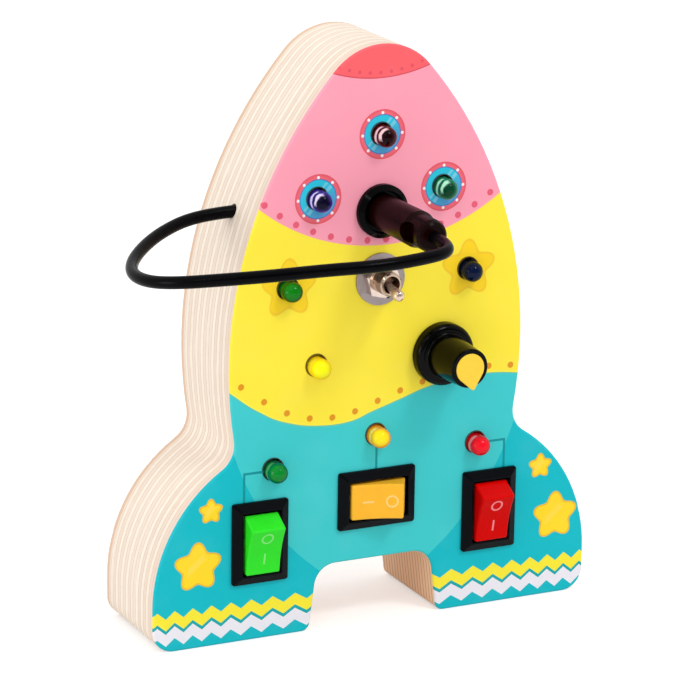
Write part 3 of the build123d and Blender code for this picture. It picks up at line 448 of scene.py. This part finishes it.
def front_artwork():
    """The printed front: coral, pink, yellow and teal, with dots, windows, stars and zigzags."""
    finish = Finish("front_artwork", shade(16, 186, 198))
    finish.shader.inputs["Specular IOR Level"].default_value = 0.12
    x, _, z = finish.parts(finish.place())
    body = finish.hypot(abs(x) + 26.65, z - 69.0) < 68.0
    finish.lay(shade(64, 202, 205), body)
    wave = wavy_line(finish, x, [
        (0.0, 0.86), (0.069, 0.63), (0.149, 0.37), (0.233, 0.185), (0.319, 0.10), (0.401, 0.09),
        (0.488, 0.195), (0.574, 0.31), (0.658, 0.42), (0.745, 0.475), (0.834, 0.49), (0.912, 0.455),
        (1.0, 0.38),
    ])
    finish.lay(shade(150, 196, 92), z + 0.18 > wave, 0.5)
    finish.lay(shade(255, 233, 66), z - 0.1 > wave)
    step, shift = 6.03, 12.0
    column = finish.maths("SNAP", x + shift + step / 2, step) - shift
    rise = wavy_line(finish, column, [
        (0.0, 0.90), (0.097, 0.705), (0.163, 0.49), (0.231, 0.31), (0.299, 0.205), (0.367, 0.18),
        (0.433, 0.22), (0.499, 0.315), (0.567, 0.41), (0.632, 0.485), (0.70, 0.55), (0.838, 0.58),
        (0.90, 0.56), (1.0, 0.5),
    ])
    finish.lay(shade(228, 150, 32), finish.hypot(x - column, z - rise) < 0.8)
    finish.lay(shade(252, 160, 180), bowl(finish, x, z, 1.3, 147.8, 52.7))
    rose = dotted_arc(finish, x, z, 1.0, 145.9, 49.5, 4.94, -4.46, 0.82)
    finish.lay(shade(232, 94, 118), rose < 0.0)
    finish.lay(shade(216, 78, 92), bowl(finish, x, z, -0.87, 174.8, 39.2))
    finish.lay(shade(250, 99, 106), bowl(finish, x, z, -0.87, 174.8, 38.9))
    nose = dotted_arc(finish, x, z, -0.67, 167.2, 30.24, 2.777, -0.08, 0.45)
    finish.lay(shade(222, 76, 96), (nose < 0.0) & (z > 130.0), 0.7)
    paint_windows(finish, x, z)
    paint_stars(finish, x, z)
    # Painted shade: a dark crescent at the upper left of each lamp hole, where the gap between the
    # lamp and the hole lies in shadow.
    for lamp in LAMPS:
        low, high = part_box(lamp)
        aside, above = x - (low[0] + high[0]) / 2 / MM, z - (low[2] + high[2]) / 2 / MM
        gap_shade_reach = finish.hypot(aside + 0.3, above - 0.46)
        finish.lay(shade(58, 38, 22), finish.between(gap_shade_reach, 2.96, 2.82), 0.9)
    paint_traces(finish, x, z)
    paint_zigzags(finish, x, z)
    cloud = finish.noise(finish.place((0.09, 0.09, 0.09)), 3.0)
    finish.lay(shade(255, 250, 246), finish.between(cloud, 0.45, 0.8), 0.015)
    speck = finish.noise(finish.place((6, 6, 6)), 2.0)
    finish.rough(speck, 0.36, 0.48)
    finish.relief(speck * 0.6 + finish.noise(finish.place((0.9, 0.9, 0.12))), 0.012)
    return finish.done()


# ---------------------------------------------------------------- plastics, metals and the rest
def moulded(name, colour, low, high, skin, sheen=0.5):
    """Moulded plastic: an even colour, faintly clouded, with a shallow moulded skin."""
    finish = Finish(name, colour)
    finish.shader.inputs["Specular IOR Level"].default_value = sheen
    cloud = finish.noise(finish.place((0.35, 0.35, 0.35)), 3.0)
    fine = finish.noise(finish.place((5, 5, 5)), 3.0)
    darker = [part * 0.75 for part in colour[:3]] + [1.0]
    finish.lay(darker, finish.between(cloud, 0.35, 0.8), 0.24)
    finish.rough(cloud * 0.6 + fine * 0.4, low, high)
    finish.relief(fine + cloud * 0.5, skin)
    return finish.done()


def plated(name, colour, low, high, streak, metal):
    """Plated metal with fine turning marks."""
    finish = Finish(name, colour)
    turned = finish.noise(finish.place(streak), 3.0)
    stain = finish.noise(finish.place((0.6, 0.6, 0.6)), 3.0)
    duller = [part * 0.72 for part in colour[:3]] + [1.0]
    finish.lay(duller, finish.between(stain, 0.45, 0.75), 0.5)
    finish.rough(turned * 0.5 + stain * 0.5, low, high)
    finish.relief(turned, 0.006)
    finish.shader.inputs["Metallic"].default_value = metal
    return finish.done()


def lamp_resin(lamp, core, painted_rim, painted_glint, outer, inner, gloss):
    """Tinted lamp resin: a rim colour painted by the viewing angle (painted shade where it is
    darker than the middle, a painted pale edge where it is lighter), and pale arcs painted as
    reflections.
    """
    finish = Finish(lamp + "_resin", core)
    low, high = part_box(lamp)
    middle, tip, level = (low[0] + high[0]) / 2 / MM, low[1] / MM, (low[2] + high[2]) / 2 / MM
    across, depth, up = finish.parts(finish.place())
    aside, above = across - middle, up - level
    # Painted light and shade at the rim: the rim colour grows as the surface turns away from the
    # view.
    edge = finish.nodes.new("ShaderNodeLayerWeight")
    edge.inputs["Blend"].default_value = 0.4
    finish.lay(painted_rim, finish.between(Level(finish, edge.outputs["Facing"]), 0.12, 0.6))
    flow = finish.noise(finish.place((0.5, 0.25, 0.5)), 3.0, 0.5)
    finish.lay([part * 0.7 for part in core[:3]] + [1.0], finish.between(flow, 0.4, 0.75), 0.3)
    # Painted reflections: two pale arcs on the left of the lamp, laid where highlights would show
    # in the resin.
    bent = depth + finish.noise(finish.place((0.5, 0.5, 0.5))) * 1.2 - tip
    ring = finish.between(abs(bent - 3.9), 0.62, 0.3) & finish.between(above, -1.9, -0.9)
    finish.lay(painted_glint, ring & finish.between(aside, -0.3, -1.2), outer)
    ring = finish.between(abs(bent - 2.0), 0.5, 0.2) & finish.between(above, -0.9, 0.3)
    finish.lay(painted_glint, ring & finish.between(aside, 0.2, -0.9), inner)
    finish.rough(flow, 0.06, 0.11)
    finish.relief(flow, 0.01)
    finish.shader.inputs["Specular IOR Level"].default_value = gloss
    return finish.done()


def circuit_board():
    """Green lacquered board: woven glass under the lacquer and pale copper runs."""
    finish = Finish("circuit_board", shade(24, 92, 54))
    across, _, up = finish.parts(finish.place())
    weave = finish.maths("SINE", across * 9.0) * finish.maths("SINE", up * 9.0)
    runs = finish.maths("PINGPONG", across + finish.maths("SNAP", up * 0.13, 1.0) * 1.7, 2.5) > 2.1
    gaps = finish.noise(finish.place((0.11, 0.0, 0.07)), 1.0) > 0.5
    finish.lay(shade(48, 128, 72), runs & gaps, 0.8)
    finish.lay(shade(18, 76, 44), finish.between(weave, 0.2, 0.9), 0.35)
    finish.rough(weave * 0.5 + 0.5, 0.25, 0.4)
    finish.relief((runs & gaps) + weave * 0.1, 0.04)
    return finish.done()


def cell_jacket():
    """Printed foil jacket of the cells: copper end, dark body and a steel rim."""
    finish = Finish("cell_jacket", shade(34, 36, 42))
    across, _, up = finish.parts(finish.place())
    between_cells = 57.5
    along = across * finish.maths("SIGN", up - between_cells)
    finish.lay(shade(196, 128, 62), along > 10.5)
    finish.lay(shade(214, 214, 216), abs(along - 10.5) < 0.5)
    finish.lay(shade(206, 206, 208), abs(across) > 22.6)
    wear = finish.noise(finish.place((0.8, 0.8, 0.8)), 4.0)
    finish.lay(shade(120, 118, 116), finish.between(wear, 0.62, 0.8), 0.3)
    finish.rough(wear, 0.22, 0.4)
    finish.relief(wear, 0.01)
    finish.shader.inputs["Metallic"].default_value = 0.6
    return finish.done()


def resistor_lacquer():
    """Tan lacquer with four colour rings round each body."""
    finish = Finish("resistor_lacquer", shade(214, 186, 142))
    wear = finish.noise(finish.place((1.5, 1.5, 1.5)), 3.0)
    across, _, _ = finish.parts(finish.place())
    ring = finish.maths("PINGPONG", across, 0.45) > 0.27
    finish.lay(shade(122, 62, 34), ring, 0.75)
    finish.lay(shade(176, 150, 110), finish.between(wear, 0.5, 0.8), 0.5)
    finish.rough(wear, 0.35, 0.5)
    finish.relief(wear, 0.02)
    return finish.done()


def cord_sheath():
    """Black cord sheath: satin, with faint lengthwise draw marks."""
    finish = Finish("cord_sheath", shade(3, 3, 5))
    finish.shader.inputs["Specular IOR Level"].default_value = 0.05
    patch = finish.noise(finish.place((0.2, 0.2, 0.2)), 3.0)
    fine = finish.noise(finish.place((3.5, 3.5, 3.5)), 3.0)
    finish.lay(shade(9, 8, 11), finish.between(patch, 0.4, 0.75), 0.6)
    finish.rough(patch * 0.6 + fine * 0.4, 0.18, 0.26)
    finish.relief(fine, 0.02)
    return finish.done()


def dress_nodes():
    """Gives every solid of the board its finish."""
    finishes = {
        birch_plywood(): ["board_body"],
        cover_sheet(): ["back_cover"],
        circuit_board(): ["lamp_board"],
        resistor_lacquer(): ["resistors"],
        cell_jacket(): ["battery_cells"],
        cord_sheath(): ["cord"],
    }
    for name, tint, low, high, skin, sheen, solids in PLASTICS:
        finishes[moulded(name, shade(*tint), low, high, skin, sheen)] = solids
    for name, tint, low, high, streak, metal, solids in METALS:
        finishes[plated(name, shade(*tint), low, high, streak, metal)] = solids
    for lamp, (core, painted_rim, painted_glint, outer, inner, gloss) in LAMPS.items():
        resin = lamp_resin(lamp, shade(*core), shade(*painted_rim), shade(*painted_glint), outer, inner, gloss)
        finishes[resin] = [lamp]
    for material, names in finishes.items():
        for name in names:
            slots = nodes[name].data.materials
            if not slots:
                slots.append(material)
            for number in range(len(slots)):
                slots[number] = material
    left = set(nodes) - {name for names in finishes.values() for name in names}
    if left:
        raise SystemExit(f"no finish for {sorted(left)}")


# ---------------------------------------------------------------- pieces
def alone(piece):
    """Selects this piece and nothing else."""
    bpy.ops.object.select_all(action="DESELECT")
    piece.select_set(True)
    bpy.context.view_layer.objects.active = piece


def settle(piece, name, material, body):
    """Names a finished piece, puts its place into its mesh, and lets it ride on its body."""
    piece.name = name
    piece.data.name = name
    alone(piece)
    bpy.ops.object.transform_apply(location=True, rotation=True, scale=True)
    piece.data.materials.clear()
    piece.data.materials.append(material)
    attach(piece, body)


def front_print(material):
    """Paint layer on the front: the face with its holes and the start of its rounded edge."""
    mesh = nodes["board_body"].data.copy()
    layer = bpy.data.objects.new("front_print", mesh)
    bpy.context.scene.collection.objects.link(layer)
    alone(layer)
    bpy.ops.object.mode_set(mode="EDIT")
    bpy.ops.mesh.select_all(action="SELECT")
    bpy.ops.mesh.remove_doubles(threshold=2 * WELD)
    bpy.ops.mesh.bisect(plane_co=(0, PRINT_END, 0), plane_no=(0, 1, 0), clear_outer=True)
    bpy.ops.mesh.select_mode(type="FACE")
    bpy.ops.mesh.select_all(action="DESELECT")
    bpy.ops.object.mode_set(mode="OBJECT")
    for polygon in mesh.polygons:       # the walls of the holes, and what looks backwards
        polygon.select = polygon.normal.y > -0.015
    bpy.ops.object.mode_set(mode="EDIT")
    bpy.ops.mesh.delete(type="FACE")
    bpy.ops.object.mode_set(mode="OBJECT")
    bpy.ops.object.modifier_add(type="SOLIDIFY")
    layer.modifiers[-1].thickness = PRINT_THICKNESS
    layer.modifiers[-1].offset = 1.0
    bpy.ops.object.modifier_apply(modifier=layer.modifiers[-1].name)
    bpy.ops.mesh.customdata_custom_splitnormals_clear()
    bpy.ops.object.shade_smooth_by_angle(angle=math.radians(35))
    settle(layer, "front_print", material, "board")


def cord_line():
    """The cord's route as a smooth spline, from its tie inside the board to the plug."""
    route = [
        (-0.0140, 0.00925, 0.1024), (-0.0210, 0.00605, 0.1036), (-0.0344, 0.00605, 0.1036),
        (-0.0445, 0.00515, 0.1031), (-0.0532, 0.00125, 0.1016), (-0.0606, -0.00455, 0.0999),
        (-0.0662, -0.01135, 0.0984), (-0.0687, -0.01875, 0.0977), (-0.0678, -0.02665, 0.0981),
        (-0.0637, -0.03335, 0.0992), (-0.0558, -0.03835, 0.1003), (-0.0452, -0.04235, 0.1011),
        (-0.0333, -0.04525, 0.1019), (-0.0212, -0.04845, 0.1024), (-0.0104, -0.04755, 0.1027),
        (-0.0022, -0.04585, 0.1031), (0.0, -0.03995, 0.1036), (0.0, -0.03425, 0.1036),
    ]
    curve = bpy.data.curves.new("cord_line", "CURVE")
    curve.dimensions = "3D"
    curve.resolution_u = 12
    spline = curve.splines.new("NURBS")
    spline.points.add(len(route) - 1)
    for point, place in zip(spline.points, route):
        point.co = (*place, 1.0)
    spline.order_u = 3
    spline.use_endpoint_u = True
    return bpy.data.objects.new("cord_line", curve)


def plug_cord(material):
    """Cord from the board's left side to the plug."""
    line = cord_line()
    bpy.context.scene.collection.objects.link(line)
    path = [vertex.co.copy() for vertex in bpy.data.meshes.new_from_object(line).vertices]
    line.data.bevel_depth = CORD_RADIUS
    line.data.bevel_resolution = 8
    line.data.use_fill_caps = True
    mesh = bpy.data.meshes.new_from_object(line)
    bpy.data.objects.remove(line)
    piece = bpy.data.objects.new("plug_cord", mesh)
    bpy.context.scene.collection.objects.link(piece)
    alone(piece)
    bpy.ops.object.mode_set(mode="EDIT")
    bpy.ops.mesh.select_all(action="SELECT")
    bpy.ops.mesh.remove_doubles(threshold=WELD)
    bpy.ops.mesh.normals_make_consistent(inside=False)
    bpy.ops.object.mode_set(mode="OBJECT")
    bpy.ops.object.shade_smooth_by_angle(angle=math.radians(50))
    piece.data.materials.clear()
    piece.data.materials.append(material)
    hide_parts("cord")
    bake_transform(piece)


def on_button(place, upright, along):
    """Point on a tilted button's finger face and the face's slope there, from its middle."""
    tilt = math.radians(ROCKER_TILT)
    height = BUTTON_FACE + along ** 2 / (2 * BUTTON_DISH)
    run = along * math.cos(tilt) - height * math.sin(tilt)
    out = along * math.sin(tilt) + height * math.cos(tilt) - PIVOT_DEPTH
    slope = tilt + along / BUTTON_DISH
    x, z = place
    if upright:
        return Vector((x, FRONT - out * MM, z + run * MM)), slope
    return Vector((x + run * MM, FRONT - out * MM, z)), slope


def rocker_marks(name, body, material):
    """The ring and the stroke on a button's face, filled with pale paint."""
    upright = name != "middle"
    for kind, along in MARKS:
        place, slope = on_button(ROCKERS[name], upright, along)
        if kind == "ring":
            bpy.ops.mesh.primitive_torus_add(
                major_radius=RING_RADIUS * MM, minor_radius=RING_BREADTH * MM,
                major_segments=40, minor_segments=10,
            )
            size = (1.0, 1.0, RING_FLATNESS)
        else:
            bpy.ops.mesh.primitive_cube_add(size=MM)
            size = STROKE
        mark = bpy.context.object
        bpy.ops.object.mode_set(mode="EDIT")
        bpy.ops.mesh.select_all(action="SELECT")
        bpy.ops.transform.resize(value=size)
        if kind == "stroke":
            bpy.ops.mesh.bevel(offset=STROKE_EDGE * MM, segments=2)
        bpy.ops.object.mode_set(mode="OBJECT")
        # the mark's own X runs along the button, its Z out of the face
        along_button = Vector((0, 0, 1)) if upright else Vector((1, 0, 0))
        out = Vector((0, -1, 0))
        x_axis = along_button * math.cos(slope) + out * math.sin(slope)
        z_axis = out * math.cos(slope) - along_button * math.sin(slope)
        y_axis = z_axis.cross(x_axis)
        mark.matrix_world = Matrix((
            (x_axis.x, y_axis.x, z_axis.x, place.x),
            (x_axis.y, y_axis.y, z_axis.y, place.y),
            (x_axis.z, y_axis.z, z_axis.z, place.z),
            (0, 0, 0, 1),
        ))
        bpy.ops.object.shade_smooth_by_angle(angle=math.radians(40))
        settle(mark, f"{name}_button_{kind}", material, body)


def bush_thread(material):
    """Screw thread on the toggle's bush in front of its nut."""
    bpy.ops.mesh.primitive_circle_add(vertices=3, radius=THREAD_SIZE * MM, fill_type="NOTHING")
    thread = bpy.context.object
    bpy.ops.object.mode_set(mode="EDIT")
    bpy.ops.mesh.select_all(action="SELECT")
    bpy.ops.transform.rotate(value=math.radians(90), orient_axis="X", center_override=(0, 0, 0))
    bpy.ops.transform.translate(value=(THREAD_CORE * MM, 0, 0))
    bpy.ops.object.mode_set(mode="OBJECT")
    bpy.ops.object.modifier_add(type="SCREW")
    turns = thread.modifiers[-1]
    turns.axis = "Z"
    turns.screw_offset = THREAD_PITCH * MM
    turns.iterations = THREAD_TURNS
    turns.steps = 40
    turns.render_steps = 40
    bpy.ops.object.modifier_apply(modifier=turns.name)
    bpy.ops.object.mode_set(mode="EDIT")
    bpy.ops.mesh.select_all(action="SELECT")
    bpy.ops.mesh.remove_doubles(threshold=WELD)
    bpy.ops.mesh.select_mode(type="VERT")
    bpy.ops.mesh.select_all(action="DESELECT")
    bpy.ops.mesh.select_non_manifold()
    bpy.ops.mesh.fill_holes(sides=4)
    bpy.ops.mesh.select_all(action="SELECT")
    bpy.ops.mesh.normals_make_consistent(inside=False)
    bpy.ops.object.mode_set(mode="OBJECT")
    bpy.ops.object.shade_smooth_by_angle(angle=math.radians(30))
    thread.rotation_euler = (math.radians(90), 0, 0)
    thread.location = (TOGGLE[0], FRONT - THREAD_START * MM, TOGGLE[1])
    settle(thread, "toggle_bush_thread", material, "board")


# ---------------------------------------------------------------- floor and light
def studio():
    """Pale floor that keeps the shadow, an even sky and three soft lamps.

    Gloss sees a darker room in front of the board, so that black plastic stays black.
    """
    bpy.ops.object.select_all(action="DESELECT")
    bpy.ops.mesh.primitive_plane_add(size=8.0, location=(0, 0, 0))
    floor = bpy.context.object
    floor.name = "floor"
    finish = Finish("white_floor", shade(220, 220, 220), 0.8)
    seen = finish.nodes.new("ShaderNodeLightPath")
    glow = Level(finish, seen.outputs["Is Camera Ray"])
    for ray in ("Is Transmission Ray", "Is Glossy Ray"):
        glow = glow | Level(finish, seen.outputs[ray])
    finish.shader.inputs["Emission Color"].default_value = (1, 1, 1, 1)
    finish.feed(finish.shader.inputs["Emission Strength"], glow * 0.45)
    finish.shader.inputs["Specular IOR Level"].default_value = 0.0
    floor.data.materials.append(finish.done())

    world = bpy.data.worlds.new("studio")
    world.use_nodes = True
    bpy.context.scene.world = world
    tree = world.node_tree
    sky = tree.nodes["Background"]
    sky.inputs["Color"].default_value = (1, 1, 1, 1)
    rays = tree.nodes.new("ShaderNodeLightPath")
    way = tree.nodes.new("ShaderNodeTexCoord")
    split = tree.nodes.new("ShaderNodeSeparateXYZ")
    tree.links.new(way.outputs["Generated"], split.inputs[0])
    room = tree.nodes.new("ShaderNodeMapRange")
    room.inputs["From Min"].default_value = -0.85
    room.inputs["From Max"].default_value = -0.35
    room.inputs["To Min"].default_value = 0.2
    tree.links.new(split.outputs["Y"], room.inputs["Value"])
    strength = tree.nodes.new("ShaderNodeMix")
    strength.inputs["A"].default_value = 0.94
    tree.links.new(rays.outputs["Is Glossy Ray"], strength.inputs["Factor"])
    tree.links.new(room.outputs["Result"], strength.inputs["B"])
    for ray in ("Is Transmission Ray", "Is Camera Ray"):
        white = tree.nodes.new("ShaderNodeMath")
        white.operation = "MAXIMUM"
        tree.links.new(strength.outputs[0], white.inputs[0])
        tree.links.new(rays.outputs[ray], white.inputs[1])
        strength = white
    tree.links.new(strength.outputs[0], sky.inputs["Strength"])

    for name, place, size, power in (
        ("key_lamp", (0.4, -0.85, 1.3), 0.35, 6.0),
        ("side_softbox", (-1.35, -0.1, 0.2), 0.5, 4.0),
        ("small_lamp", (-0.85, -0.8, 1.1), 0.12, 0.9),
    ):
        lamp = bpy.data.lights.new(name, "AREA")
        lamp.size = size
        lamp.energy = power
        source = bpy.data.objects.new(name, lamp)
        bpy.context.scene.collection.objects.link(source)
        source.location = place
        aim = Vector((0, 0, 0.07)) - Vector(place)
        source.rotation_euler = aim.to_track_quat("-Z", "Y").to_euler()
    bpy.context.scene.view_settings.view_transform = "Standard"


aim_camera()
dress_nodes()
plug_cord(nodes["cord"].data.materials[0])
front_print(front_artwork())
for side, tint in MARK_PAINTS.items():
    rocker_marks(side, f"{side}_button", moulded(f"mark_{side}", shade(*tint), 0.3, 0.45, 0.01))
bush_thread(nodes["toggle_frame"].data.materials[0])
studio()
